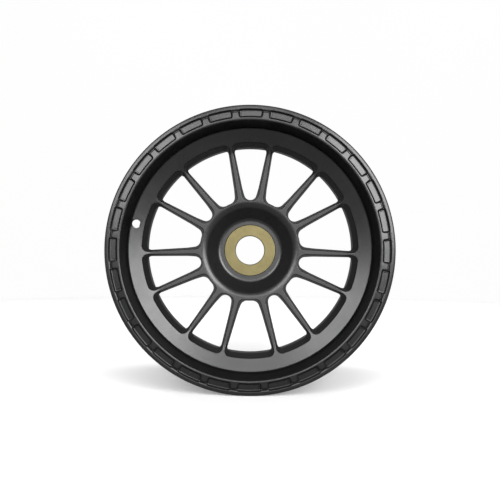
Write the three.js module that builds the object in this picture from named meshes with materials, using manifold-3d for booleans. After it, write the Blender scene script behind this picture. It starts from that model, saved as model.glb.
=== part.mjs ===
// A centre-lock racing wheel for a single-seater car, 13 inches across the bead seats.
// Units are millimetres. The wheel stands upright and spins about Y: its outboard face
// looks along -Y and +Z is up. The origin is the wheel's centre, halfway across its width.
// Places on Y in this file are measured from the hub's mounting face, and the finished wheel
// is moved along Y at the end.
// The wheel itself is one casting, held here as rings, spokes and a hub drum that almost touch.

import * as THREE from 'three';
import { mergeVertices } from 'three/addons/utils/BufferGeometryUtils.js';
import Module from 'manifold-3d';

const wasm = await Module();
wasm.setup();

// Clearance between two pieces that touch.
const GAP = 0.3;
const RIM_FACETS = 56;
const HUB_FACETS = 42;
const BUSH_FACETS = 14;
const CLIP_FACETS = 20;
const PAIRS = 7;
const PAIR_STEP = 360 / PAIRS;

// The rim: its outboard and inboard edges, the flanges' inner faces 9 inches apart, and its radii.
const RIM = {
  outboardY: -114,
  outboardFlangeY: -101.6,
  inboardFlangeY: 127,
  inboardY: 139.4,
  flangeR: 182,
  seatR: 164.7,
  humpR: 165.4,
  wellR: 148,
  wellInsideR: 144.6,
  mouthR: 161.7,
};

// Where the inboard bead seat ends and the flange's corner begins.
const INBOARD_SEAT_END_Y = RIM.inboardFlangeY - 6.4;

// The disc of spokes: its front is nearly flat from the hub to bendR, then slopes forwards as a
// dished band to meet the rim's plain wall, and its back deepens towards the hub.
const DISC = {
  innerR: 59.8,
  innerFrontY: -45.4,
  bendR: 131.5,
  bendFrontY: -48.5,
  wallR: 161.5,
  wallFrontY: -61,
  outerBackY: -26,
  shoulderR: 86,
  shoulderBackY: -19,
  footR: 78,
  footBackY: -11,
  rootBackY: -3,
};

// One spoke: its centre line starts beside the axis and leans away from the pair's middle.
const SPOKE = {
  lean: 10.66,
  offset: 0.85,
  nearR: 76,
  nearHalfWidth: 3.2,
  farR: 133,
  farHalfWidth: 2.3,
};

// The windows between spokes, sized on the plane y = planeY and tapering inwards behind it.
const WINDOW = {
  planeY: -46,
  innerR: 66.3,
  outerR: 142.8,
  sideDraft: 6,
  endDraft: 6,
  outerCorner: 7.5,
  narrowInnerCorner: 10.2,
  wideInnerCorner: 8.6,
  frontY: -58,
  backY: 4,
  // How far the hub drum and the spoke ring reach into the window ends.
  root: 1.6,
};

const POCKET = { count: 28, length: 29, width: 10.6, corner: 2.6, depth: 3.2, middleR: 170.9, tilt: 12 };
const FLANGE_FACE = { innerR: 164.6, innerY: RIM.outboardY, outerR: 173.4, outerY: -112.1 };
const VALVE_HOLE = { r: 5.7, middleR: 155.1, middleY: -56, angle: -77.14 };

const HUB = {
  rearR: 24.8,
  funnelMouthR: 57.6,
  funnelMouthY: -43.6,
  funnelFootR: 44.6,
  funnelFootY: -30.2,
  seatFloorY: -27.5,
  seatPocketR: 35.1,
  seatPocketY: -19.5,
};
const INSERT = { boreR: 19.85, chamfer: 0.45, flangeR: 34.8, sleeveR: 24.5, frontY: -27.8, backY: -3 };
const CIRCLIP = { outerR: 26, innerR: 23.2, frontY: -2.7, thickness: 1.3, opening: 34, lugR: 2.4, eyeR: 0.9 };
const PEG = { count: PAIRS, circleR: 57, bushR: 9, boreR: 6.5, depth: 24 };

const SATIN_BLACK = 0x1a1a1c;
const GOLD = 0xa89b69;
const STEEL = 0x8d9095;

const radians = THREE.MathUtils.degToRad;
const tangent = (degrees) => Math.tan(radians(degrees));

// ---- Solids ----

function toSolid(geometry) {
  const bare = geometry.clone();
  bare.deleteAttribute('normal');
  bare.deleteAttribute('uv');
  const merged = mergeVertices(bare, 1e-4);
  const vertProperties = new Float32Array(merged.attributes.position.array);
  const triVerts = new Uint32Array(merged.index.array);
  return new wasm.Manifold(new wasm.Mesh({ numProp: 3, vertProperties, triVerts }));
}

function toGeometry(solid) {
  const { vertProperties, triVerts } = solid.getMesh();
  const geometry = new THREE.BufferGeometry();
  geometry.setAttribute('position', new THREE.BufferAttribute(vertProperties, 3));
  geometry.setIndex(new THREE.BufferAttribute(triVerts, 1));
  geometry.computeVertexNormals();
  return geometry;
}

// A ring about Y from a closed profile of [radius, y] corners, with a flat facet at the bottom.
function revolve(profile, facets = RIM_FACETS) {
  const corners = profile.map(([radius, y]) => new THREE.Vector2(radius, y));
  if (THREE.ShapeUtils.isClockWise(corners)) {
    corners.reverse();
  }
  corners.push(corners[0].clone());
  return new THREE.LatheGeometry(corners, facets, Math.PI / facets);
}

// A solid between two outlines in X and Z with the same number of corners, at two heights on Y.
function taper(frontOutline, backOutline, frontY, backY) {
  const geometry = new THREE.ExtrudeGeometry(new THREE.Shape(frontOutline), {
    depth: 1,
    bevelEnabled: false,
  });
  const position = geometry.attributes.position;
  for (let i = 0; i < position.count; i += 1) {
    const x = position.getX(i);
    const z = position.getY(i);
    const corner = frontOutline.findIndex((p) => Math.hypot(p.x - x, p.y - z) < 1e-5);
    const atFront = position.getZ(i) > 0.5;
    const target = atFront ? frontOutline[corner] : backOutline[corner];
    position.setXYZ(i, target.x, atFront ? frontY : backY, target.y);
  }
  return geometry;
}

// ---- Windows ----

// Half the width of a spoke at a distance along its centre line.
function spokeHalfWidth(distance) {
  const along = (distance - SPOKE.nearR) / (SPOKE.farR - SPOKE.nearR);
  return THREE.MathUtils.lerp(SPOKE.nearHalfWidth, SPOKE.farHalfWidth, along);
}

// Where the straight line through two points leaves a circle about the origin.
function lineOnCircle(start, end, radius) {
  const direction = end.clone().sub(start).normalize();
  const nearest = start.dot(direction);
  const clearance = start.lengthSq() - nearest * nearest;
  return start.clone().addScaledVector(direction, Math.sqrt(radius * radius - clearance) - nearest);
}

// A point on a circle about the origin, clockwise from +Z by an angle in radians.
function onCircle(radius, angle) {
  return new THREE.Vector2(radius * Math.sin(angle), radius * Math.cos(angle));
}

// A rounded corner from one point to another, tangent to both lines through the corner.
function roundedCorner(from, corner, to, steps) {
  const roundness = 0.55;
  const curve = new THREE.CubicBezierCurve(
    from,
    from.clone().lerp(corner, roundness),
    to.clone().lerp(corner, roundness),
    to,
  );
  return curve.getPoints(steps);
}

function arcBetween(radius, fromAngle, toAngle, steps) {
  const points = [];
  for (let i = 1; i < steps; i += 1) {
    points.push(onCircle(radius, THREE.MathUtils.lerp(fromAngle, toAngle, i / steps)));
  }
  return points;
}

// A window's outline at a height on Y, with its centre line along +Z.
// It is drawn once for the right-hand side and mirrored.
function windowOutline(isWide, y) {
  const depth = y - WINDOW.planeY;
  const inset = depth * tangent(WINDOW.sideDraft);
  const innerR = WINDOW.innerR + depth * tangent(WINDOW.endDraft);
  const outerR = WINDOW.outerR - depth * tangent(WINDOW.endDraft);
  const lean = radians(isWide ? PAIR_STEP / 2 - SPOKE.lean : SPOKE.lean);
  const offset = isWide ? -SPOKE.offset : SPOKE.offset;
  const sidePoint = (distance) => {
    const across = offset - spokeHalfWidth(distance) - inset;
    return new THREE.Vector2(
      distance * Math.sin(lean) + across * Math.cos(lean),
      distance * Math.cos(lean) - across * Math.sin(lean),
    );
  };
  const near = sidePoint(SPOKE.nearR);
  const far = sidePoint(SPOKE.farR);
  const innerCorner = lineOnCircle(near, far, innerR);
  const outerCorner = lineOnCircle(near, far, outerR);
  const innerAngle = Math.atan2(innerCorner.x, innerCorner.y);
  const outerAngle = Math.atan2(outerCorner.x, outerCorner.y);
  const wantedInner = isWide ? WINDOW.wideInnerCorner : WINDOW.narrowInnerCorner;
  const innerReach = Math.min(wantedInner, 0.94 * innerR * innerAngle);
  const outerReach = WINDOW.outerCorner - inset / 2;
  const innerArcEnd = innerAngle - innerReach / innerR;
  const outerArcStart = outerAngle - outerReach / outerR;
  const up = far.clone().sub(near).normalize();
  const right = [
    onCircle(innerR, 0),
    ...(isWide ? arcBetween(innerR, 0, innerArcEnd, 2) : []),
    ...roundedCorner(
      onCircle(innerR, innerArcEnd),
      innerCorner,
      innerCorner.clone().addScaledVector(up, innerReach),
      isWide ? 3 : 4,
    ),
    ...roundedCorner(
      outerCorner.clone().addScaledVector(up, -outerReach),
      outerCorner,
      onCircle(outerR, outerArcStart),
      3,
    ),
    ...arcBetween(outerR, outerArcStart, 0, isWide ? 3 : 2),
    onCircle(outerR, 0),
  ];
  const left = right
    .slice(1, -1)
    .reverse()
    .map((p) => new THREE.Vector2(-p.x, p.y));
  return [...right, ...left].reverse();
}

function windowCutter(isWide) {
  const front = windowOutline(isWide, WINDOW.frontY);
  const back = windowOutline(isWide, WINDOW.backY);
  return taper(front, back, WINDOW.frontY, WINDOW.backY);
}

// All the windows, as one solid: a narrow one in the middle of each pair, a wide one after it.
function allWindows() {
  const cutters = [];
  for (let pair = 0; pair < PAIRS; pair += 1) {
    const angle = radians(pair * PAIR_STEP);
    cutters.push(toSolid(windowCutter(false).rotateY(angle)));
    cutters.push(toSolid(windowCutter(true).rotateY(angle + radians(PAIR_STEP / 2))));
  }
  return cutters.reduce((joined, cutter) => joined.add(cutter));
}

const WINDOWS = allWindows();

// The radius of the windows' inner ends and outer ends at a height on Y.
const hubEdgeR = (y) => WINDOW.innerR + (y - WINDOW.planeY) * tangent(WINDOW.endDraft);
const ringEdgeR = (y) => WINDOW.outerR - (y - WINDOW.planeY) * tangent(WINDOW.endDraft);
const RING_FRONT_Y = -52.5;

// The disc's front face at a radius.
function discFrontY(radius) {
  if (radius < DISC.bendR) {
    const along = (radius - DISC.innerR) / (DISC.bendR - DISC.innerR);
    return THREE.MathUtils.lerp(DISC.innerFrontY, DISC.bendFrontY, along);
  }
  const along = (radius - DISC.bendR) / (DISC.wallR - DISC.bendR);
  return THREE.MathUtils.lerp(DISC.bendFrontY, DISC.wallFrontY, along);
}

// ---- Rim rings, from the outboard flange to the inboard one ----

// The outboard flange: a conical face ringed with shallow pockets, a groove and a rounded lip.
function frontFlange() {
  const ring = revolve([
    [RIM.mouthR, -111.2],
    [RIM.mouthR + 1, -113.2],
    [FLANGE_FACE.innerR, FLANGE_FACE.innerY],
    [FLANGE_FACE.outerR, FLANGE_FACE.outerY],
    [174.8, -110.2],
    [176.6, -111.9],
    [178.2, -112.1],
    [180.9, -110.4],
    [RIM.flangeR, -107.8],
    [RIM.flangeR, -103.8],
    [179.6, RIM.outboardFlangeY],
    [170.4, RIM.outboardFlangeY],
    [166.6, -99.4],
    [RIM.seatR, -95.2],
    [RIM.mouthR, -95.2],
  ]);
  return toGeometry(toSolid(ring).subtract(flangePockets()));
}

// The flange's pockets: rounded slots whose floors lie parallel to the conical face.
function flangePockets() {
  const halfLength = POCKET.length / 2;
  const halfWidth = POCKET.width / 2;
  const overshoot = 6;
  const outline = new THREE.Shape();
  outline.moveTo(-halfLength + POCKET.corner, -halfWidth);
  for (const [x, z, turn] of [
    [1, -1, -90],
    [1, 1, 0],
    [-1, 1, 90],
    [-1, -1, 180],
  ]) {
    const middleX = x * (halfLength - POCKET.corner);
    const middleZ = z * (halfWidth - POCKET.corner);
    outline.absarc(middleX, middleZ, POCKET.corner, radians(turn), radians(turn + 90), false);
  }
  const slot = new THREE.ExtrudeGeometry(outline, {
    depth: POCKET.depth + overshoot,
    bevelEnabled: false,
    curveSegments: 1,
  });
  const along = (POCKET.middleR - FLANGE_FACE.innerR) / (FLANGE_FACE.outerR - FLANGE_FACE.innerR);
  const faceY = THREE.MathUtils.lerp(FLANGE_FACE.innerY, FLANGE_FACE.outerY, along);
  // The slot is drawn looking along its own axis, then laid on the cone at the top of the wheel.
  slot.translate(0, 0, -POCKET.depth);
  slot.rotateX(Math.PI / 2 + radians(POCKET.tilt));
  slot.translate(0, faceY, POCKET.middleR);
  const cutters = [];
  for (let i = 0; i < POCKET.count; i += 1) {
    cutters.push(toSolid(slot.clone().rotateY(radians((i * 360) / POCKET.count))));
  }
  return cutters.reduce((joined, cutter) => joined.add(cutter));
}

// The outboard bead seat, with the plain wall of the dish on its inside.
function frontBeadSeat() {
  return revolve([
    [RIM.mouthR, -95.2 + GAP],
    [RIM.seatR, -95.2 + GAP],
    [RIM.seatR - 0.7, -82.6],
    [RIM.humpR, -79.6],
    [RIM.seatR - 0.6, -76.2],
    [RIM.mouthR - 0.2, -76.2],
  ]);
}

// The sloping wall of the dish, with the empty valve hole through it.
function dishWall() {
  const ring = revolve([
    [RIM.mouthR - 0.2, -76.2 + GAP],
    [RIM.seatR - 0.6, -76.2 + GAP],
    [RIM.seatR - 0.6, -61.4],
    [162.8, -57.2],
    [149.8, -47.4],
    [RIM.wellR + 0.3, -44.8],
    [145.2, discFrontY(145.2)],
    [159.6, discFrontY(159.6)],
    [161, -61.6],
    [DISC.wallR, -64],
  ]);
  const drill = new THREE.CylinderGeometry(VALVE_HOLE.r, VALVE_HOLE.r, 60, 14);
  drill.translate(0, VALVE_HOLE.middleY, VALVE_HOLE.middleR);
  drill.rotateY(radians(VALVE_HOLE.angle));
  return toGeometry(toSolid(ring).subtract(toSolid(drill)));
}

// The ring that the spokes grow out of. The windows' outer ends are cut into it.
function spokeRing() {
  const insideR = (y) => ringEdgeR(y) - WINDOW.root;
  const frontR = insideR(RING_FRONT_Y);
  const ring = revolve([
    [frontR, discFrontY(frontR)],
    [144.9, discFrontY(144.9)],
    [RIM.wellR, -44.6],
    [RIM.wellR, -23],
    [RIM.wellInsideR, -23],
    [142.4, DISC.outerBackY],
    [insideR(DISC.outerBackY), DISC.outerBackY],
  ]);
  return toGeometry(toSolid(ring).subtract(WINDOWS));
}

// The drop centre, where the tyre's bead sits while it is being fitted.
function dropCentre() {
  return revolve([
    [RIM.wellInsideR, -23 + GAP],
    [RIM.wellR, -23 + GAP],
    [RIM.wellR, -2],
    [RIM.wellInsideR, -2],
  ]);
}

// The inboard wall climbs from the drop centre to the inboard bead seat.
function rearWall() {
  return revolve([
    [RIM.wellInsideR, -2 + GAP],
    [RIM.wellR, -2 + GAP],
    [159.6, 20],
    [162.6, 44],
    [159.2, 44],
    [155.4, 20],
  ]);
}

function rearBeadSeat() {
  const humpY = RIM.inboardFlangeY - 22;
  return revolve([
    [159.2, 44 + GAP],
    [162.6, 44 + GAP],
    [RIM.seatR - 1.6, humpY - 3.4],
    [RIM.humpR, humpY],
    [RIM.seatR - 1.2, humpY + 3],
    [RIM.seatR, INBOARD_SEAT_END_Y],
    [161.2, INBOARD_SEAT_END_Y],
    [160.4, humpY - 3.4],
  ]);
}

function rearFlange() {
  return revolve([
    [161.2, INBOARD_SEAT_END_Y + GAP],
    [RIM.seatR, INBOARD_SEAT_END_Y + GAP],
    [166.6, RIM.inboardFlangeY - 2.2],
    [170.4, RIM.inboardFlangeY],
    [179.6, RIM.inboardFlangeY],
    [RIM.flangeR, RIM.inboardFlangeY + 2.2],
    [RIM.flangeR, RIM.inboardFlangeY + 5],
    [179.4, RIM.inboardFlangeY + 7.4],
    [174, RIM.inboardFlangeY + 7.8],
    [168.6, RIM.inboardY - 0.6],
    [166.4, RIM.inboardY],
    [163, RIM.inboardY],
  ]);
}

// ---- Spokes and hub ----

// One spoke of a pair, between the hub drum and the spoke ring. side is 1 clockwise, -1 the other way.
function spoke(side) {
  const startR = (y) => hubEdgeR(y) + WINDOW.root + GAP;
  const endR = (y) => ringEdgeR(y) - WINDOW.root - GAP;
  const blank = toSolid(
    revolve([
      [startR(DISC.innerFrontY), discFrontY(startR(DISC.innerFrontY))],
      [DISC.bendR, DISC.bendFrontY],
      [endR(RING_FRONT_Y), discFrontY(endR(RING_FRONT_Y))],
      [endR(DISC.outerBackY), DISC.outerBackY],
      [DISC.shoulderR, DISC.shoulderBackY],
      [DISC.footR, DISC.footBackY],
      [startR(DISC.rootBackY), DISC.rootBackY],
    ]),
  );
  const reach = 200;
  const wedge = [
    new THREE.Vector2(0, 0),
    onCircle(reach, 0),
    onCircle(reach, (side * radians(PAIR_STEP)) / 2),
  ];
  const keep = toSolid(orientedTaper(wedge, side));
  return toGeometry(blank.intersect(keep).subtract(WINDOWS));
}

// A wedge that runs through the whole disc, drawn anticlockwise whichever side it is on.
function orientedTaper(outline, side) {
  const turned = side > 0 ? [...outline].reverse() : outline;
  return taper(turned, turned, WINDOW.frontY, WINDOW.backY);
}

// The hub drum: a deep funnel outboard, a flat mounting face inboard, and blind peg holes.
function hubDrum() {
  const edgeR = (y) => hubEdgeR(y) + WINDOW.root;
  const drum = revolve(
    [
      [HUB.rearR, 0],
      [33, 0],
      [34.4, -11],
      [41.6, -11],
      [43, 0],
      [edgeR(0), 0],
      [edgeR(DISC.innerFrontY), discFrontY(edgeR(DISC.innerFrontY))],
      [62.2, DISC.innerFrontY],
      [HUB.funnelMouthR, HUB.funnelMouthY],
      [HUB.funnelFootR, HUB.funnelFootY],
      [41.4, HUB.seatFloorY - 0.5],
      [38.6, HUB.seatFloorY],
      [HUB.seatPocketR, HUB.seatFloorY],
      [HUB.seatPocketR, HUB.seatPocketY],
      [HUB.rearR, HUB.seatPocketY],
      [HUB.rearR, CIRCLIP.frontY - GAP],
      [CIRCLIP.outerR + GAP, CIRCLIP.frontY - GAP],
      [CIRCLIP.outerR + GAP, CIRCLIP.frontY + CIRCLIP.thickness + GAP],
      [HUB.rearR, CIRCLIP.frontY + CIRCLIP.thickness + GAP],
    ],
    HUB_FACETS,
  );
  let solid = toSolid(drum).subtract(WINDOWS);
  for (let i = 0; i < PEG.count; i += 1) {
    const drill = new THREE.CylinderGeometry(PEG.bushR + GAP, PEG.bushR + GAP, PEG.depth + 4, BUSH_FACETS);
    drill.translate(0, (4 - PEG.depth) / 2 - GAP, PEG.circleR);
    drill.rotateY(radians((i * 360) / PEG.count));
    solid = solid.subtract(toSolid(drill));
  }
  return toGeometry(solid);
}

// ---- Fittings ----

// The gold insert that the wheel nut bears on: a flat collar with a sleeve through the hub.
function nutSeatInsert() {
  const collarBackY = HUB.seatPocketY - GAP;
  return revolve(
    [
      [INSERT.boreR + INSERT.chamfer, INSERT.frontY],
      [INSERT.flangeR, INSERT.frontY],
      [INSERT.flangeR, collarBackY],
      [INSERT.sleeveR, collarBackY],
      [INSERT.sleeveR, INSERT.backY],
      [INSERT.boreR, INSERT.backY],
      [INSERT.boreR, INSERT.frontY + INSERT.chamfer],
    ],
    HUB_FACETS,
  );
}

// The circlip behind the insert: an open ring with an eyelet at each end.
function insertCirclip() {
  const openingHalf = radians(CIRCLIP.opening / 2);
  const down = -Math.PI / 2;
  const ringWidth = CIRCLIP.outerR - CIRCLIP.innerR;
  const lugInset = CIRCLIP.innerR - CIRCLIP.lugR * 0.35;
  const outline = new THREE.Shape();
  outline.absarc(0, 0, CIRCLIP.outerR, down + openingHalf, down - openingHalf + Math.PI * 2, false);
  outline.absarc(0, 0, CIRCLIP.innerR, down - openingHalf, down + openingHalf - Math.PI * 2, true);
  const options = { depth: CIRCLIP.thickness, bevelEnabled: false, curveSegments: CLIP_FACETS };
  let clip = toSolid(new THREE.ExtrudeGeometry(outline, options));
  for (const side of [-1, 1]) {
    const lugAngle = down + side * (openingHalf + radians(3));
    const middle = new THREE.Vector2(Math.cos(lugAngle), Math.sin(lugAngle));
    const lug = new THREE.Shape();
    lug.absarc(middle.x * lugInset, middle.y * lugInset, CIRCLIP.lugR, 0, Math.PI * 2, false);
    const eye = new THREE.Shape();
    eye.absarc(middle.x * lugInset, middle.y * lugInset, CIRCLIP.eyeR, 0, Math.PI * 2, false);
    const round = { ...options, curveSegments: 5 };
    const drill = new THREE.ExtrudeGeometry(eye, { ...round, depth: ringWidth * 2 });
    drill.translate(0, 0, -ringWidth / 2);
    clip = clip.add(toSolid(new THREE.ExtrudeGeometry(lug, round))).subtract(toSolid(drill));
  }
  const geometry = toGeometry(clip);
  geometry.rotateX(Math.PI / 2);
  geometry.translate(0, CIRCLIP.frontY + CIRCLIP.thickness, 0);
  return geometry;
}

// A steel bush that one of the hub's drive pegs enters.
function drivePegBush() {
  const rearY = -GAP;
  return revolve(
    [
      [PEG.boreR, -PEG.depth],
      [PEG.bushR, -PEG.depth],
      [PEG.bushR, rearY],
      [PEG.boreR + 0.8, rearY],
      [PEG.boreR, rearY - 0.8],
    ],
    BUSH_FACETS,
  );
}

// ---- Assembly ----

const finish = {
  casting: () => new THREE.MeshStandardMaterial({ color: SATIN_BLACK, roughness: 0.45, metalness: 0.2 }),
  insert: () => new THREE.MeshStandardMaterial({ color: GOLD, roughness: 0.4, metalness: 0.9 }),
  steel: () => new THREE.MeshStandardMaterial({ color: STEEL, roughness: 0.35, metalness: 0.95 }),
};

function addPiece(group, name, geometry, material) {
  const piece = new THREE.Mesh(geometry, material);
  piece.name = name;
  group.add(piece);
  return piece;
}

function casting() {
  const group = new THREE.Group();
  const rings = {
    front_flange: frontFlange(),
    front_bead_seat: frontBeadSeat(),
    dish_wall: dishWall(),
    spoke_ring: spokeRing(),
    drop_centre: dropCentre(),
    rear_wall: rearWall(),
    rear_bead_seat: rearBeadSeat(),
    rear_flange: rearFlange(),
    hub_drum: hubDrum(),
  };
  for (const [name, geometry] of Object.entries(rings)) {
    addPiece(group, name, geometry, finish.casting());
  }
  const leftSpoke = spoke(-1);
  const rightSpoke = spoke(1);
  for (let pair = 0; pair < PAIRS; pair += 1) {
    const holder = new THREE.Group();
    holder.rotation.y = radians(pair * PAIR_STEP);
    addPiece(holder, `spoke_${pair + 1}_left`, leftSpoke, finish.casting());
    addPiece(holder, `spoke_${pair + 1}_right`, rightSpoke, finish.casting());
    group.add(holder);
  }
  return group;
}

function fittings() {
  const group = new THREE.Group();
  addPiece(group, 'nut_seat_insert', nutSeatInsert(), finish.insert());
  addPiece(group, 'insert_circlip', insertCirclip(), finish.steel());
  const bush = drivePegBush();
  for (let i = 0; i < PEG.count; i += 1) {
    const holder = new THREE.Group();
    holder.rotation.y = radians((i * 360) / PEG.count);
    addPiece(holder, `drive_peg_bush_${i + 1}`, bush, finish.steel()).position.z = PEG.circleR;
    group.add(holder);
  }
  return group;
}

const wheel = new THREE.Group();
wheel.add(casting(), fittings());
wheel.position.y = -(RIM.outboardY + RIM.inboardY) / 2;

export default wheel;
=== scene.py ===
# A satin black centre-lock racing wheel with a gold nut seat. Lengths are in millimetres
# until a mesh is made, and the spin axis is Y, with the outboard face towards -Y.

import math

import bmesh
import bpy
import numpy as np
from mathutils import Matrix, Vector
from mathutils.geometry import delaunay_2d_cdt


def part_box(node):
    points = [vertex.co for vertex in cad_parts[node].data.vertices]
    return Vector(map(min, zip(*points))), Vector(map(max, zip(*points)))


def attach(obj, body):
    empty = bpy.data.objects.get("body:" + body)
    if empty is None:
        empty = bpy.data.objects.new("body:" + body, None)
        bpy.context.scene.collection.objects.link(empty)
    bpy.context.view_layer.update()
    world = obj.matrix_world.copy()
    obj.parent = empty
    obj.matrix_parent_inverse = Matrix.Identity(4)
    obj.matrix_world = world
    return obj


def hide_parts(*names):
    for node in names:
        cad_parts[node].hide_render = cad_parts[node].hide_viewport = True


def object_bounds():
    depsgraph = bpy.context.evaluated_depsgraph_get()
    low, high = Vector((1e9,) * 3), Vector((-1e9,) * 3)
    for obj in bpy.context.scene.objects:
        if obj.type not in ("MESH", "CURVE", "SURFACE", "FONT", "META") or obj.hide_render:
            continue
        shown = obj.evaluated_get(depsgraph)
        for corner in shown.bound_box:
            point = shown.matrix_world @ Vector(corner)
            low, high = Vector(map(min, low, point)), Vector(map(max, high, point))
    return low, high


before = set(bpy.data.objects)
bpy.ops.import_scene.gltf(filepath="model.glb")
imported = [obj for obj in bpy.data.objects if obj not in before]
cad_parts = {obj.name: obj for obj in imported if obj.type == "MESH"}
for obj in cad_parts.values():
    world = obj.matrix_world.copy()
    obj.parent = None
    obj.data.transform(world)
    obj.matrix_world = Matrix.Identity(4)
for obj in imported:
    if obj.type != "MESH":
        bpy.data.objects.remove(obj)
cad_low, cad_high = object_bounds()

MM = 0.001

# ---- Driving dimensions, from the frame where it has them ----

# Places on Y are measured from the hub's mounting face, and grow towards the vehicle.
FACE_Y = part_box("hub_drum")[1].y / MM


def box_mm(node):
    """A node's lowest and highest corners in millimetres, from the mounting face."""
    low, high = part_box(node)
    offset = Vector((0, FACE_Y, 0))
    return low / MM - offset, high / MM - offset


FIT = 0.3  # the gap between pressed pieces

# The rim.
FLANGE_R = cad_high.z / MM
FLANGE_DEPTH = 12.4
OUTBOARD_Y = cad_low.y / MM - FACE_Y
INBOARD_Y = cad_high.y / MM - FACE_Y
OUTBOARD_FLANGE_Y = OUTBOARD_Y + FLANGE_DEPTH
INBOARD_FLANGE_Y = INBOARD_Y - FLANGE_DEPTH
BEAD_R = 164.7
HUMP_R = 165.4
WELL_R = 148
WELL_INSIDE_R = 144.6
WELL_MIDDLE_Y = -30
MOUTH_R = 161.7
CONE_TILT = math.radians(12)
CONE_START = (MOUTH_R, OUTBOARD_Y - 0.55)
CONE_END_R = 172

# The spokes and the windows between them: a spoke's half width is given near the hub and far out.
PAIRS = sum(1 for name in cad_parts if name.endswith("_left"))
PAIR_STEP = 2 * math.pi / PAIRS
SPOKE_LEAN = math.radians(10.66)
SPOKE_OFFSET = 0.85
SPOKE_NEAR = (76, 3.2)
SPOKE_FAR = (133, 2.3)
WINDOW_PLANE_Y = -46
WINDOW_INNER_R = 66.3
WINDOW_OUTER_R = 142.8
WINDOW_DRAFT = math.tan(math.radians(6))
WINDOW_EDGE = 0.9
OUTER_CORNER = 7.5
NARROW_INNER_CORNER = 10.2
WIDE_INNER_CORNER = 6.5

# The disc's front, from the funnel's lip over the spokes to the dished band, as radius and y.
HUB_FRONT = (61, -45.5)
HUB_LIP = 16.5
BEND = (131.5, -48.5)
BAND_END = (161.5, -61)

# The nut seat and the hub bore.
SEAT_Y = box_mm("nut_seat_insert")[0].y
SEAT_R = box_mm("nut_seat_insert")[1].z
SEAT_BACK_Y = -19.5
SLEEVE_R = 24.5
BORE_R = 19.85

# Holes and pockets.
PEG_CIRCLE_R = 57
PEG_BUSH_R = 9
PEG_BORE_R = 6.5
PEG_HOLE_Y = box_mm("drive_peg_bush_1")[0].y - FIT
VALVE_R = 5.6
VALVE_CIRCLE_R = 154.9
VALVE_ANGLE = -1.5 * PAIR_STEP
POCKETS = 4 * PAIRS
POCKET_R = 170.9
POCKET_HALF = np.array((15.2, 5.5))
POCKET_CORNER = 2.7
POCKET_DEPTH = 3.2

SEGMENTS = 12 * POCKETS
WELD = 5e-6  # in metres
SHARP_ANGLE = math.radians(38)


# ---- Outlines ----


def rounded(corners, steps=5):
    """A path through (radius, y, fillet) corners, with an arc at each filleted one."""
    path = []
    for i, (r, y, fillet) in enumerate(corners):
        here = np.array((r, y), float)
        if fillet == 0 or i in (0, len(corners) - 1):
            path.append(here)
            continue
        back = np.array(corners[i - 1][:2], float) - here
        ahead = np.array(corners[i + 1][:2], float) - here
        room = 0.48 * min(np.linalg.norm(back), np.linalg.norm(ahead))
        back /= np.linalg.norm(back)
        ahead /= np.linalg.norm(ahead)
        half = 0.5 * math.acos(np.clip(back @ ahead, -1, 1))
        reach = min(fillet / math.tan(half), room)
        radius = reach * math.tan(half)
        middle = here + (back + ahead) / np.linalg.norm(back + ahead) * radius / math.sin(half)
        start = here + back * reach - middle
        end = here + ahead * reach - middle
        turn = math.acos(np.clip(start @ end / radius**2, -1, 1))
        for step in range(steps + 1):
            t = step / steps
            arm = (math.sin((1 - t) * turn) * start + math.sin(t * turn) * end) / math.sin(turn)
            path.append(middle + arm)
    return np.array(path)


def on_circle(radius, angle):
    """Points in the (x, z) plane at a radius, with angles clockwise from the top."""
    return np.array((radius * np.sin(angle), radius * np.cos(angle))).T


def corner_curve(start, corner, end, steps):
    """A round corner that is tangent to both lines through the corner point."""
    t = np.linspace(0, 1, steps + 1)[:, None]
    a = start + (corner - start) * 0.55
    b = end + (corner - end) * 0.55
    return (1 - t) ** 3 * start + 3 * (1 - t) ** 2 * t * a + 3 * (1 - t) * t**2 * b + t**3 * end


def line_on_circle(start, end, radius):
    """Where the line through two points leaves a circle about the origin."""
    direction = (end - start) / np.linalg.norm(end - start)
    nearest = start @ direction
    return start + direction * (math.sqrt(radius**2 - start @ start + nearest**2) - nearest)


def window_outline(wide, y):
    """A window's outline on the plane at y, with its centre line straight up."""
    depth = y - WINDOW_PLANE_Y
    inner_r = WINDOW_INNER_R + depth * WINDOW_DRAFT
    outer_r = WINDOW_OUTER_R - depth * WINDOW_DRAFT
    lean = PAIR_STEP / 2 - SPOKE_LEAN if wide else SPOKE_LEAN
    offset = -SPOKE_OFFSET if wide else SPOKE_OFFSET
    along = np.array((math.sin(lean), math.cos(lean)))
    across = np.array((math.cos(lean), -math.sin(lean)))
    shift = offset - depth * WINDOW_DRAFT
    near = SPOKE_NEAR[0] * along + (shift - SPOKE_NEAR[1]) * across
    far = SPOKE_FAR[0] * along + (shift - SPOKE_FAR[1]) * across
    inner = line_on_circle(near, far, inner_r)
    outer = line_on_circle(near, far, outer_r)
    inner_angle = math.atan2(*inner)
    outer_angle = math.atan2(*outer)
    wanted = WIDE_INNER_CORNER if wide else NARROW_INNER_CORNER
    inner_reach = min(wanted, 0.94 * inner_r * inner_angle)
    outer_reach = OUTER_CORNER - depth * WINDOW_DRAFT / 2
    up = (far - near) / np.linalg.norm(far - near)
    arc_end = inner_angle - inner_reach / inner_r
    arc_start = outer_angle - outer_reach / outer_r
    side_start = inner + up * inner_reach
    side_end = outer - up * outer_reach
    side = np.linspace(0, 1, 27)[1:-1, None]
    right = np.vstack((
        on_circle(inner_r, np.linspace(0, arc_end, 7)[:-1]),
        corner_curve(on_circle(inner_r, arc_end), inner, side_start, 9),
        side_start + (side_end - side_start) * side,
        corner_curve(side_end, outer, on_circle(outer_r, arc_start), 8),
        on_circle(outer_r, np.linspace(arc_start, 0, 11)[1:]),
    ))
    left = right[1:-1][::-1] * (-1, 1)
    return np.vstack((right, left))


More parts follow.
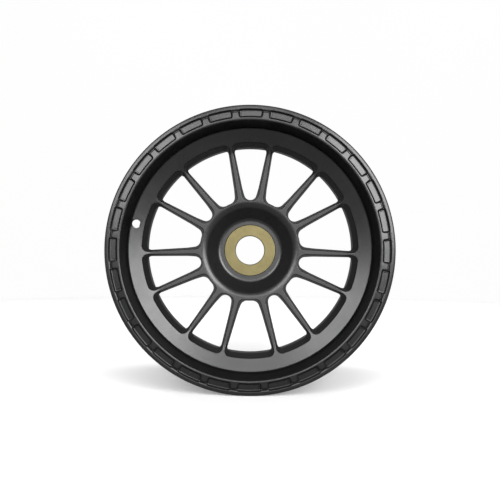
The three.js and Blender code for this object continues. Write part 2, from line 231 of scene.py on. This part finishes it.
def turned(points, angle):
    """Points in the (x, z) plane, turned clockwise about the wheel's axis."""
    x, z = points.T
    c, s = math.cos(angle), math.sin(angle)
    return np.column_stack((x * c + z * s, z * c - x * s))


def outward(loop):
    """The outward direction at each point of a closed outline."""
    tangent = np.roll(loop, -1, axis=0) - np.roll(loop, 1, axis=0)
    normal = np.column_stack((tangent[:, 1], -tangent[:, 0]))
    normal /= np.linalg.norm(normal, axis=1)[:, None]
    x, z = loop.T
    area = np.sum(x * np.roll(z, -1) - np.roll(x, -1) * z)
    return normal if area > 0 else -normal


def inside(points, loop):
    """Which points lie inside a closed outline."""
    x, z = points[:, 0][:, None], points[:, 1][:, None]
    a, b = loop, np.roll(loop, -1, axis=0)
    crosses = (a[:, 1] > z) != (b[:, 1] > z)
    rise = np.where(b[:, 1] == a[:, 1], 1e-9, b[:, 1] - a[:, 1])
    meets = a[:, 0] + (z - a[:, 1]) * (b[:, 0] - a[:, 0]) / rise
    return (crosses & (x < meets)).sum(axis=1) % 2 == 1


# ---- Mesh parts ----


class Skin:
    """Vertices and faces gathered patch by patch, then welded into one surface."""

    def __init__(self):
        self.points = []
        self.faces = []
        self.count = 0

    def add(self, points, faces):
        """One patch, whose faces count from its own first point."""
        self.points.append(np.asarray(points, float))
        self.faces += [[self.count + i for i in face] for face in faces]
        self.count += len(points)

    def rows(self, rows):
        """Quads between closed loops that have the same number of points."""
        n = len(rows[0])
        faces = []
        for k in range(len(rows) - 1):
            for i in range(n):
                j = (i + 1) % n
                faces.append((k * n + i, k * n + j, k * n + n + j, k * n + n + i))
        self.add(np.vstack(rows), faces)

    def lathe(self, path, segments=SEGMENTS):
        """A path of (radius, y) turned about the wheel's axis."""
        angle = np.arange(segments) * 2 * math.pi / segments
        self.rows([lifted(on_circle(r, angle), y) for r, y in path])

    def sheet(self, height, inner_r, outer_r, holes, extra):
        """A ring whose y is height(radius), with holes in it and extra points on it."""
        angle = np.arange(SEGMENTS) * 2 * math.pi / SEGMENTS
        loops = [on_circle(inner_r, angle), on_circle(outer_r, angle), *holes]
        flat = np.vstack([*loops, extra])
        edges = []
        start = 0
        for loop in loops:
            n = len(loop)
            edges += [(start + i, start + (i + 1) % n) for i in range(n)]
            start += n
        made = delaunay_2d_cdt([Vector(p) for p in flat], edges, [], 0, 1e-6)
        where = np.array([tuple(v) for v in made[0]])
        triangles = np.array(made[2])
        middle = where[triangles].mean(axis=1)
        keep = (np.hypot(*middle.T) > inner_r * 0.9999) & (np.hypot(*middle.T) < outer_r)
        keep &= inside(middle, loops[1]) & ~inside(middle, loops[0])
        for hole in holes:
            near = np.abs(middle - hole.mean(axis=0)).max(axis=1) < np.ptp(hole, axis=0).max()
            near[near] = inside(middle[near], hole)
            keep &= ~near
        self.add(lifted(where, height(np.hypot(*where.T))), triangles[keep].tolist())

    def cap(self, loop, y):
        """A flat face across a closed loop."""
        self.add(lifted(loop, y), [list(range(len(loop)))])

    def mesh(self, name):
        """The patches as one welded mesh, in metres, with its faces turned outwards."""
        mesh = bpy.data.meshes.new(name)
        points = (np.vstack(self.points) + (0, FACE_Y, 0)) * MM
        mesh.from_pydata(points.tolist(), [], self.faces)
        work = bmesh.new()
        work.from_mesh(mesh)
        bmesh.ops.remove_doubles(work, verts=work.verts, dist=WELD)
        bmesh.ops.dissolve_degenerate(work, edges=work.edges, dist=1e-7)
        bmesh.ops.recalc_face_normals(work, faces=work.faces)
        loose = [v for v in work.verts if not v.link_faces]
        bmesh.ops.delete(work, geom=loose, context="VERTS")
        work.to_mesh(mesh)
        work.free()
        return mesh


def lifted(flat, y):
    """(x, z) points as (x, y, z) ones."""
    return np.column_stack((flat[:, 0], np.broadcast_to(y, len(flat)), flat[:, 1]))


def add_piece(name, mesh, material, nodes):
    """A visible piece on the wheel's one body, with smooth shading up to an angle."""
    piece = bpy.data.objects.new(name, mesh)
    bpy.context.scene.collection.objects.link(piece)
    mesh.materials.append(material)
    mesh.shade_smooth()
    mesh.set_sharp_from_angle(angle=SHARP_ANGLE)
    weighted = piece.modifiers.new("even_shading", "WEIGHTED_NORMAL")
    weighted.keep_sharp = True
    weighted.weight = 60
    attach(piece, "root")
    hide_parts(*nodes)
    return piece


# ---- The casting's section, as radius and y ----


def hub_path():
    """From the hub's inboard face, through the bore and out of the funnel to the spokes."""
    bore_r, groove_r = SLEEVE_R + FIT, SLEEVE_R + 1.8
    pocket_r, pocket_y = SEAT_R + FIT, SEAT_Y + FIT
    return rounded([
        (44, 0, 0),
        (43, 0, 0.6),
        (41.6, -11, 1.6),
        (34.4, -11, 1.6),
        (33, 0, 0.6),
        (bore_r, 0, 0.4),
        (bore_r, -1.1, 0),
        (groove_r, -1.1, 0),
        (groove_r, -3, 0),
        (bore_r, -3, 0),
        (bore_r, SEAT_BACK_Y, 0),
        (pocket_r, SEAT_BACK_Y, 0),
        (pocket_r, pocket_y, 0.3),
        (41.9, pocket_y, 8.5),
        (*HUB_FRONT, HUB_LIP),
        (76, front_line(76), 0),
    ], steps=9)


def front_line(radius):
    """The spokes' nearly flat front at a radius."""
    return np.interp(radius, (HUB_FRONT[0], BEND[0]), (HUB_FRONT[1], BEND[1]))


def front_path():
    """The spokes' front, the dished band and the plain wall, out to the flange's cone."""
    return rounded([
        (44, -29.6, 0),
        (*HUB_FRONT, HUB_LIP),
        (*BEND, 28),
        (*BAND_END, 3),
        (*CONE_START, 2.4),
        (CONE_END_R, cone_y(CONE_END_R), 0),
    ], steps=10)


def cone_y(radius):
    """The outboard flange's conical face."""
    return CONE_START[1] + (radius - CONE_START[0]) * math.tan(CONE_TILT)


def lip_path():
    """From the flange's cone over the groove and the lip, and down the tyre's side."""
    return rounded([
        (CONE_END_R, cone_y(CONE_END_R), 0),
        (CONE_END_R + 0.6, cone_y(CONE_END_R + 0.6), 0.6),
        (173.8, OUTBOARD_Y + 4.1, 0.4),
        (175.8, OUTBOARD_Y + 1.4, 2),
        (FLANGE_R, OUTBOARD_Y + 2.9, 2.6),
        (FLANGE_R, OUTBOARD_FLANGE_Y - 1.8, 1.6),
        (179.6, OUTBOARD_FLANGE_Y, 1.2),
        (170.4, OUTBOARD_FLANGE_Y, 5),
        (BEAD_R, -96, 4),
        (BEAD_R - 0.7, -82.8, 2.5),
        (HUMP_R, -79.6, 1.6),
        (BEAD_R - 0.6, -75.6, 2),
        (BEAD_R - 0.6, -58, 4),
        (WELL_R, -45.2, 4),
        (WELL_R, WELL_MIDDLE_Y, 0),
    ], steps=6)


def inboard_path():
    """From the drop centre to the inboard flange, round its lip and back inside the barrel."""
    flange_y = INBOARD_FLANGE_Y
    return rounded([
        (WELL_R, WELL_MIDDLE_Y, 0),
        (WELL_R, -2, 14),
        (159.6, 20, 16),
        (162.6, 44, 14),
        (BEAD_R - 1.6, flange_y - 25.6, 2.5),
        (HUMP_R, flange_y - 22, 1.6),
        (BEAD_R - 1.2, flange_y - 18.8, 2.5),
        (BEAD_R, flange_y - 5.6, 4),
        (170.4, flange_y, 5),
        (179.6, flange_y, 1.2),
        (FLANGE_R, flange_y + 1.8, 1.6),
        (FLANGE_R, flange_y + 5.6, 2.2),
        (178.6, flange_y + 8, 1.8),
        (172.6, flange_y + 8, 3),
        (168.2, INBOARD_Y, 1.4),
        (163.4, INBOARD_Y, 0.8),
        (160.6, flange_y - 25.6, 10),
        (159.2, 44, 14),
        (155.4, 20, 16),
        (WELL_INSIDE_R, -2, 14),
        (WELL_INSIDE_R, -26.4, 2),
        (137, -25.46, 0),
    ])


def disc_back_path():
    """The hub's inboard face, the spokes' deep roots and their backs."""
    return rounded([
        (40, 0, 0),
        (71.6, 0, 1.4),
        (73.2, -4, 3),
        (78, -11.6, 8),
        (86.5, -19.2, 10),
        (WELL_INSIDE_R, -26.4, 0),
    ], steps=8)


def height_on(path):
    """y at a radius along a path whose radius only grows."""
    return lambda radius: np.interp(radius, path[:, 0], path[:, 1])


def first(flags):
    """The index of the first true flag."""
    return int(np.argmax(flags))


def last(flags):
    """The index of the last true flag."""
    return len(flags) - 1 - int(np.argmax(flags[::-1]))


# ---- The casting ----


def fillet_steps(size, steps):
    """Offsets and depths of a quarter-round edge, from the face to the wall."""
    turn = np.linspace(0, math.pi / 2, steps + 1)
    return [(size * (1 - math.sin(t)), size * (1 - math.cos(t))) for t in turn]


def ring_points(radii, blocked, clearance):
    """Points on circles, leaving out the ones inside or close to any blocked outline."""
    angle = np.arange(SEGMENTS) * 2 * math.pi / SEGMENTS
    points = np.vstack([on_circle(r, angle) for r in radii])
    for loop in blocked:
        middle = loop.mean(axis=0)
        reach = np.linalg.norm(loop - middle, axis=1).max() + clearance
        near = np.linalg.norm(points - middle, axis=1) < reach
        close = points[near]
        gap = np.linalg.norm(close[:, None] - loop[None], axis=2).min(axis=1) < clearance
        near[near] = inside(close, loop) | gap
        points = points[~near]
    return points


def window_rows(wide, front_y, back_y):
    """Loops from a window's front edge, down its tapering walls, to its back edge."""
    y_low, y_high = -62, 5
    low, high = window_outline(wide, y_low), window_outline(wide, y_high)

    def outline_at(y):
        t = ((y - y_low) / (y_high - y_low))[:, None]
        return low + (high - low) * t

    def edge_row(surface_y, offset, depth):
        # The outline and the surface's height depend on each other, so a few rounds settle both.
        y = np.full(len(low), surface_y(100))
        for _ in range(6):
            loop = outline_at(y)
            loop = loop + outward(loop) * offset
            y = surface_y(np.hypot(*loop.T)) + depth
        return loop, y

    front_rows = [edge_row(front_y, o, d) for o, d in fillet_steps(WINDOW_EDGE, 4)]
    back_rows = [edge_row(back_y, o, -d) for o, d in fillet_steps(WINDOW_EDGE, 4)][::-1]
    top, bottom = front_rows[-1][1], back_rows[0][1]
    wall_rows = []
    for t in np.linspace(0, 1, 7)[1:-1]:
        y = top + (bottom - top) * t
        wall_rows.append((outline_at(y), y))
    return [*front_rows, *wall_rows, *back_rows]


def pocket_outline():
    """A rounded slot about the origin, long in x, with points along its long sides."""
    turns = np.linspace(0, math.pi / 2, 7)
    outline = []
    for side, end, start in ((1, -1, -0.5), (1, 1, 0), (-1, 1, 0.5), (-1, -1, 1)):
        middle = (POCKET_HALF - POCKET_CORNER) * (side, end)
        angle = start * math.pi + turns
        outline.append(middle + POCKET_CORNER * np.column_stack((np.cos(angle), np.sin(angle))))
        if side == end:
            across = np.linspace(1, -1, 9)[1:-1, None]
            outline.append(outline[-1][-1] * np.hstack((across, np.ones_like(across))))
    return np.vstack(outline)


def pocket_rows(flange_y):
    """Loops of one flange pocket at the top of the wheel: edge, sloping wall and floor."""
    outline = pocket_outline()
    normal = outward(outline)
    floor_inset, fillet = 2.5, 1.2
    # How far each row lies inside the outline, and how far below the face.
    rows = [(-offset, down) for offset, down in fillet_steps(0.35, 2)]
    rows += [(0.8, 1.7), (1, 2)]
    for turn in np.linspace(0.5, math.pi / 2, 4):
        down = POCKET_DEPTH - fillet * (1 - math.sin(turn))
        rows.append((floor_inset - fillet * math.cos(turn), down))
    rows.append((floor_inset + 1.1, POCKET_DEPTH))
    made = []
    for inset, down in rows:
        flat = outline - normal * inset
        r = POCKET_R + flat[:, 1]
        face_y = flange_y(r) if inset <= 0 else cone_y(r)
        made.append((on_circle(r, flat[:, 0] / POCKET_R), face_y + down))
    return made


def valve_rows(front_y, tyre_y):
    """Loops of the valve hole, drilled parallel to the axis through the dished band."""
    spin = np.arange(40) * 2 * math.pi / 40
    middle = on_circle(VALVE_CIRCLE_R, VALVE_ANGLE)
    rows = []
    for offset, depth in fillet_steps(0.5, 3):
        loop = middle + on_circle(VALVE_R + offset, spin)
        rows.append(lifted(loop, front_y(np.hypot(*loop.T)) + depth))
    for offset, depth in fillet_steps(0.5, 3)[::-1]:
        loop = middle + on_circle(VALVE_R + offset, spin)
        rows.append(lifted(loop, tyre_y(np.hypot(*loop.T)) - depth))
    return rows


def peg_hole_rows(middle):
    """Loops of one blind hole for a drive peg's bush, from the hub's mounting face."""
    spin = np.arange(48) * 2 * math.pi / 48
    hole_r, cap_r = PEG_BUSH_R + FIT, PEG_BUSH_R + FIT - 4
    rows = [(hole_r + offset, -depth) for offset, depth in fillet_steps(0.5, 3)]
    rows += [(hole_r, PEG_HOLE_Y), (cap_r, PEG_HOLE_Y)]
    return [lifted(middle + on_circle(r, spin), y) for r, y in rows]


def flat_loop(row):
    """A loop's (x, z) outline."""
    return row[:, (0, 2)]


def turned_rows(rows, angle):
    """(outline, y) rows turned about the wheel's axis, as loops of points."""
    return [lifted(turned(loop, angle), y) for loop, y in rows]


def cut_windows(skin, front_y, back_y):
    """The windows' walls, and their outlines on the disc's front and back."""
    fronts, backs = [], []
    for wide in (False, True):
        rows = window_rows(wide, front_y, back_y)
        for k in range(PAIRS):
            made = turned_rows(rows, (k + 0.5 * wide) * PAIR_STEP)
            skin.rows(made)
            fronts.append(flat_loop(made[0]))
            backs.append(flat_loop(made[-1]))
    return fronts, backs


def cut_peg_holes(skin):
    """The blind peg holes, and their outlines on the mounting face."""
    outlines = []
    for k in range(PAIRS):
        made = peg_hole_rows(on_circle(PEG_CIRCLE_R, k * PAIR_STEP))
        skin.rows(made)
        skin.cap(flat_loop(made[-1]), PEG_HOLE_Y)
        outlines.append(flat_loop(made[0]))
    return outlines


def cut_pockets(skin, flange_y):
    """The flange's pockets, and their outlines on its face."""
    outlines = []
    rows = pocket_rows(flange_y)
    for k in range(POCKETS):
        made = turned_rows(rows, k * 2 * math.pi / POCKETS)
        skin.rows(made)
        skin.add(made[-1], [list(range(len(made[-1])))])
        outlines.append(flat_loop(made[0]))
    return outlines


# Each face with openings in it, from an inner to an outer radius, with the radii of its extra points.
DISC_FRONT = (62.8, 161.2)
DISC_FRONT_RINGS = (
    63.3, 63.8, 64.3, 64.8, 65.3, 65.9, 66.6, 67.4,
    *np.arange(143.2, 157, 1.6), 157.8, 158.6, *np.arange(159.2, 160.9, 0.4),
)
FLANGE_FACE = (163.2, 177.6)
FLANGE_FACE_RINGS = (163.6, 164.2, 164.7, *np.arange(172, 177.3, 0.4))
TYRE_SIDE = (148.6, 163.4)
TYRE_SIDE_RINGS = np.arange(149.4, 163.3, 1.2)
DISC_BACK = (44, 142.2)
DISC_BACK_RINGS = (70.8, 71.4, 71.9, 72.4, 73, 73.9, 75, 76.4, 78, 79.8, 81.8, 84, 86.4, 89, 92)


def casting_skin():
    """The one-piece wheel: openings first, then the faces round them, then what joins the faces."""
    skin = Skin()
    front, lip, rim = front_path(), lip_path(), inboard_path()
    front_y = height_on(front[: first(front[:, 0] > DISC_FRONT[1] + 0.2) + 1])
    back_y = height_on(disc_back_path())
    cone_start = first(front[:, 1] < OUTBOARD_Y + 1)
    crest = first(lip[:, 0] > FLANGE_FACE[1] + 0.9)
    flange_y = height_on(np.vstack((front[cone_start:-1], lip[:crest])))
    wall_foot = first(lip[:, 1] > BAND_END[1] - 1)
    tyre_y = height_on(lip[wall_foot:][::-1])

    window_fronts, window_backs = cut_windows(skin, front_y, back_y)
    peg_holes = cut_peg_holes(skin)
    pockets = cut_pockets(skin, flange_y)
    valve = valve_rows(front_y, tyre_y)
    skin.rows(valve)

    def face(height, reach, holes, rings, clearance):
        skin.sheet(height, *reach, holes, ring_points(rings, holes, clearance))

    valve_front, valve_back = flat_loop(valve[0]), flat_loop(valve[-1])
    face(front_y, DISC_FRONT, [*window_fronts, valve_front], DISC_FRONT_RINGS, 0.7)
    face(flange_y, FLANGE_FACE, pockets, FLANGE_FACE_RINGS, 0.3)
    face(tyre_y, TYRE_SIDE, [valve_back], TYRE_SIDE_RINGS, 0.7)
    face(back_y, DISC_BACK, [*window_backs, *peg_holes], DISC_BACK_RINGS, 0.8)

    # The turned stretches between those faces, with their ends on the faces' edges.
    def stretch(*parts):
        skin.lathe(np.vstack(parts))

    def edge(height, radius):
        return radius, height(radius)

    hub = hub_path()
    hub = hub[: last(hub[:, 0] < DISC_FRONT[0]) + 1]
    stretch(hub, edge(front_y, DISC_FRONT[0]))
    mouth = front[first(front[:, 0] > DISC_FRONT[1]):]
    mouth = mouth[: first(mouth[:, 0] > FLANGE_FACE[0])]
    stretch(edge(front_y, DISC_FRONT[1]), mouth, edge(flange_y, FLANGE_FACE[0]))
    seat = lip[first(lip[:, 0] > FLANGE_FACE[1]):]
    seat = seat[: last(seat[:, 0] > TYRE_SIDE[1]) + 1]
    stretch(edge(flange_y, FLANGE_FACE[1]), seat, edge(tyre_y, TYRE_SIDE[1]))
    well = lip[last(lip[:, 0] > TYRE_SIDE[0]) + 1: -1]
    barrel = rim[1: last(rim[:, 0] > DISC_BACK[1]) + 1]
    stretch(edge(tyre_y, TYRE_SIDE[0]), well, barrel, edge(back_y, DISC_BACK[1]))
    return skin


CASTING_NODES = [
    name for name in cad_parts
    if name.startswith(("front_", "rear_", "spoke_", "dish_", "drop_", "hub_"))
]


# ---- Fittings ----


def seat_insert_skin():
    """The gold collar that the wheel nut bears on, with its sleeve."""
    skin = Skin()
    end_y = box_mm("nut_seat_insert")[1].y
    collar_y = SEAT_BACK_Y - FIT
    bore_middle = (BORE_R, -15, 0)
    path = rounded([
        bore_middle,
        (BORE_R, SEAT_Y + 0.5, 0.2),
        (BORE_R + 0.5, SEAT_Y, 0.2),
        (SEAT_R - 0.3, SEAT_Y, 0.25),
        (SEAT_R, SEAT_Y + 0.4, 0.25),
        (SEAT_R, collar_y, 0.2),
        (SLEEVE_R, collar_y, 0.2),
        (SLEEVE_R, end_y, 0.3),
        (BORE_R + 0.4, end_y, 0.3),
        (BORE_R, end_y - 0.5, 0.2),
        bore_middle,
    ], steps=3)
    skin.lathe(path, 168)
    return skin


def bush_skin(node):
    """A ground steel bush with a chamfered mouth."""
    skin = Skin()
    low, high = box_mm(node)
    middle = (low + high) / 2
    bore_middle = (PEG_BORE_R, low.y + 8, 0)
    path = rounded([
        bore_middle,
        (PEG_BORE_R, low.y, 0.2),
        (PEG_BUSH_R, low.y, 0.4),
        (PEG_BUSH_R, high.y, 0.35),
        (PEG_BORE_R + 0.9, high.y, 0.2),
        (PEG_BORE_R, high.y - 0.9, 0.3),
        bore_middle,
    ], steps=3)
    angle = np.arange(56) * 2 * math.pi / 56
    offset = (middle.x, middle.z)
    skin.rows([lifted(on_circle(r, angle) + offset, y) for r, y in path])
    return skin


# ---- Materials ----


def new_material(name):
    """An empty material: its node tree, its shader and places on the object in metres."""
    material = bpy.data.materials.new(name)
    material.use_nodes = True
    tree = material.node_tree
    tree.nodes.clear()
    output = tree.nodes.new("ShaderNodeOutputMaterial")
    shader = tree.nodes.new("ShaderNodeBsdfPrincipled")
    tree.links.new(shader.outputs["BSDF"], output.inputs["Surface"])
    place = tree.nodes.new("ShaderNodeTexCoord")
    return material, tree, shader, place.outputs["Object"]


def noise(tree, place, scale, detail=3, roughness=0.5):
    """Cloudy values from 0 to 1, finer as the scale grows."""
    node = tree.nodes.new("ShaderNodeTexNoise")
    node.inputs["Scale"].default_value = scale
    node.inputs["Detail"].default_value = detail
    node.inputs["Roughness"].default_value = roughness
    tree.links.new(place, node.inputs["Vector"])
    return node.outputs["Fac"]


def remap(tree, value, low, high, out_low, out_high):
    """A value stretched from one range to another."""
    node = tree.nodes.new("ShaderNodeMapRange")
    ends = {"From Min": low, "From Max": high, "To Min": out_low, "To Max": out_high}
    for name, number in ends.items():
        node.inputs[name].default_value = number
    tree.links.new(value, node.inputs["Value"])
    return node.outputs["Result"]


def ramp(tree, value, stops):
    """A colour that runs between two (position, colour) stops."""
    node = tree.nodes.new("ShaderNodeValToRGB")
    for stop, (position, colour) in zip(node.color_ramp.elements, stops):
        stop.position = position
        stop.color = (*colour, 1)
    tree.links.new(value, node.inputs["Fac"])
    return node.outputs["Color"]


def bump(tree, height, strength, distance, under=None):
    """Fine relief, on top of the relief under it if there is any."""
    node = tree.nodes.new("ShaderNodeBump")
    node.inputs["Strength"].default_value = strength
    node.inputs["Distance"].default_value = distance
    tree.links.new(height, node.inputs["Height"])
    if under:
        tree.links.new(under, node.inputs["Normal"])
    return node.outputs["Normal"]


def radial_distance(tree, place):
    """Distance from the wheel's axis, in metres."""
    flatten = tree.nodes.new("ShaderNodeVectorMath")
    flatten.operation = "MULTIPLY"
    flatten.inputs[1].default_value = (1, 0, 1)
    tree.links.new(place, flatten.inputs[0])
    length = tree.nodes.new("ShaderNodeVectorMath")
    length.operation = "LENGTH"
    tree.links.new(flatten.outputs[0], length.inputs[0])
    return length.outputs["Value"]


def satin_black():
    """Satin black powder coat: fine orange peel, slightly uneven gloss, weak at grazing angles."""
    material, tree, shader, place = new_material("satin_black_paint")
    cloud = noise(tree, place, 14, 4)
    colour = ramp(tree, cloud, [(0.3, (0.043, 0.043, 0.0435)), (0.75, (0.049, 0.049, 0.0495))])
    tree.links.new(colour, shader.inputs["Base Color"])
    # The metallic mix reflects weakly head on, and its dark edge tint keeps it weak at a slant.
    shader.inputs["Metallic"].default_value = 0.88
    shader.inputs["Specular Tint"].default_value = (0.32, 0.32, 0.32, 1)
    patchy = noise(tree, place, 35, 5, 0.6)
    tree.links.new(remap(tree, patchy, 0.3, 0.7, 0.27, 0.33), shader.inputs["Roughness"])
    peel = bump(tree, noise(tree, place, 900, 2), 0.08, 0.0006)
    grain = bump(tree, noise(tree, place, 3500, 2), 0.08, 0.0002, peel)
    tree.links.new(grain, shader.inputs["Normal"])
    return material


def gold_anodised():
    """Turned and gold-anodised metal, with the tool's fine concentric marks."""
    material, tree, shader, place = new_material("gold_anodised")
    distance = radial_distance(tree, place)
    wave = tree.nodes.new("ShaderNodeTexNoise")
    wave.noise_dimensions = "1D"
    wave.inputs["Scale"].default_value = 2600
    wave.inputs["Detail"].default_value = 2
    tree.links.new(distance, wave.inputs["W"])
    cloud = noise(tree, place, 60, 4)
    colour = ramp(tree, cloud, [(0.3, (0.135, 0.114, 0.054)), (0.7, (0.163, 0.139, 0.068))])
    tree.links.new(colour, shader.inputs["Base Color"])
    shader.inputs["Metallic"].default_value = 1
    tree.links.new(remap(tree, wave.outputs["Fac"], 0.3, 0.7, 0.3, 0.42), shader.inputs["Roughness"])
    tree.links.new(bump(tree, wave.outputs["Fac"], 0.25, 0.0001), shader.inputs["Normal"])
    return material


def ground_steel():
    """Bright ground steel."""
    material, tree, shader, place = new_material("ground_steel")
    marks = noise(tree, place, 800, 3)
    cloud = noise(tree, place, 40, 4)
    colour = ramp(tree, cloud, [(0.3, (0.42, 0.42, 0.43)), (0.7, (0.55, 0.55, 0.56))])
    tree.links.new(colour, shader.inputs["Base Color"])
    shader.inputs["Metallic"].default_value = 1
    tree.links.new(remap(tree, marks, 0.3, 0.7, 0.22, 0.36), shader.inputs["Roughness"])
    tree.links.new(bump(tree, marks, 0.1, 0.0001), shader.inputs["Normal"])
    return material


def floor_white():
    """Pale matt card on a lit table, bright enough to stay white away from the wheel."""
    material, tree, shader, place = new_material("studio_floor")
    cloud = noise(tree, place, 2, 2)
    colour = ramp(tree, cloud, [(0.2, (0.7, 0.7, 0.7)), (0.8, (0.73, 0.73, 0.73))])
    tree.links.new(colour, shader.inputs["Base Color"])
    tree.links.new(colour, shader.inputs["Emission Color"])
    shader.inputs["Emission Strength"].default_value = FLOOR_GLOW
    shader.inputs["Roughness"].default_value = 0.7
    return material


def backdrop_white():
    """Evenly lit white paper, behind and around the wheel."""
    material, tree, shader, place = new_material("studio_backdrop")
    cloud = noise(tree, place, 1, 2)
    colour = ramp(tree, cloud, [(0.2, (0.98, 0.98, 0.98)), (0.8, (1, 1, 1))])
    shader.inputs["Base Color"].default_value = (0, 0, 0, 1)
    shader.inputs["Specular IOR Level"].default_value = 0
    tree.links.new(colour, shader.inputs["Emission Color"])
    shader.inputs["Emission Strength"].default_value = 1
    return material


# ---- Camera, studio and lights ----

# The camera's distance is in millimetres from the hub's mounting face. The rest is in metres.
CAMERA_DISTANCE = 942
CAMERA_Z = 0.0005
CAMERA_ROLL = math.radians(-0.35)
VIEW_WIDTH = 0.62
VIEW_DEPTH = 0.828
FLOOR_HALF = 2.4
BACKDROP_R = 1.7
BACKDROP_TOP = 2.6
ROOM_LIGHT = 0.4
FLOOR_GLOW = 0.3

# Name, degrees clockwise from the top, degrees off the axis, distance, width and height, radiance.
SOFTBOXES = (
    ("right_softbox", 60, 38, 2.8, (1.9, 1.4), 12),
    ("left_softbox", 308, 37, 2.8, (1.6, 1.3), 8.5),
    ("top_softbox", 0, 37, 2.9, (0.9, 1.1), 5),
    ("front_softbox", 0, 3, 2.8, (1.4, 1.3), 2.7),
    ("floor_wash", 0, 120, 2.0, (2.4, 1.4), 3),
)


def make_camera():
    """The camera looks straight along the spin axis, from a hair above it."""
    data = bpy.data.cameras.new("camera")
    data.sensor_width = 36
    data.lens = data.sensor_width * VIEW_DEPTH / VIEW_WIDTH
    camera = bpy.data.objects.new("camera", data)
    camera.location = (0, (FACE_Y - CAMERA_DISTANCE) * MM, CAMERA_Z)
    camera.rotation_euler = (math.pi / 2, CAMERA_ROLL, 0)
    bpy.context.scene.collection.objects.link(camera)
    bpy.context.scene.camera = camera


def add_stage(name, points, faces, material):
    """A piece of the studio round the wheel."""
    mesh = bpy.data.meshes.new(name)
    mesh.from_pydata(points, [], faces)
    mesh.materials.append(material)
    stage = bpy.data.objects.new(name, mesh)
    bpy.context.scene.collection.objects.link(stage)
    return stage


def make_floor():
    """A pale floor under the wheel, which lights it but doesn't shine in its paint."""
    half, z = FLOOR_HALF, cad_low.z
    corners = [(-half, -half, z), (half, -half, z), (half, half, z), (-half, half, z)]
    floor = add_stage("floor", corners, [(0, 1, 2, 3)], floor_white())
    floor.visible_glossy = False


def make_backdrop():
    """A white cylinder with a lid, seen only by the camera."""
    around = 48
    rings = (
        (BACKDROP_R, cad_low.z - 0.01),
        (BACKDROP_R, BACKDROP_TOP),
        (0.01, BACKDROP_TOP + 0.3),
    )
    points, faces = [], []
    for r, height in rings:
        for i in range(around):
            turn = 2 * math.pi * i / around
            points.append((r * math.cos(turn), r * math.sin(turn), height))
    for k in range(len(rings) - 1):
        for i in range(around):
            j = (i + 1) % around
            row = k * around
            faces.append((row + i, row + j, row + around + j, row + around + i))
    backdrop = add_stage("backdrop", points, faces, backdrop_white())
    backdrop.visible_diffuse = False
    backdrop.visible_glossy = False
    backdrop.visible_transmission = False
    backdrop.visible_shadow = False


def softbox(name, clock, off_axis, distance, size, radiance):
    """A soft light that looks at the wheel, placed clockwise from the top and off the axis."""
    clock, off_axis = math.radians(clock), math.radians(off_axis)
    across = Vector((math.cos(clock), 0, -math.sin(clock)))
    outwards = Vector((math.sin(clock), 0, math.cos(clock)))
    direction = outwards * math.sin(off_axis) - Vector((0, math.cos(off_axis), 0))
    data = bpy.data.lights.new(name, "AREA")
    data.shape = "RECTANGLE"
    data.size, data.size_y = size
    data.energy = radiance * math.pi * size[0] * size[1]
    light = bpy.data.objects.new(name, data)
    light.location = direction * distance
    axes = Matrix((across, direction.cross(across), direction))
    light.rotation_euler = axes.transposed().to_euler()
    bpy.context.scene.collection.objects.link(light)


def make_lights():
    """Even white room light, and the softboxes."""
    world = bpy.data.worlds.new("studio")
    world.use_nodes = True
    room = world.node_tree.nodes["Background"]
    room.inputs["Color"].default_value = (1, 1, 1, 1)
    room.inputs["Strength"].default_value = ROOM_LIGHT
    scene = bpy.context.scene
    scene.world = world
    scene.view_settings.view_transform = "Standard"
    for box in SOFTBOXES:
        softbox(*box)


# ---- Assembly ----

make_camera()
make_floor()
make_backdrop()
make_lights()

black = satin_black()
gold = gold_anodised()
steel = ground_steel()

casting = add_piece("wheel_casting", casting_skin().mesh("wheel_casting"), black, CASTING_NODES)

insert = add_piece("seat_insert", seat_insert_skin().mesh("seat_insert"), gold, ["nut_seat_insert"])

for k in range(PAIRS):
    node = f"drive_peg_bush_{k + 1}"
    bush = add_piece(f"peg_bush_{k + 1}", bush_skin(node).mesh(f"peg_bush_{k + 1}"), steel, [node])

# The circlip keeps its CAD shape and takes the steel.
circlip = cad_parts["insert_circlip"].data
circlip.materials.clear()
circlip.materials.append(steel)
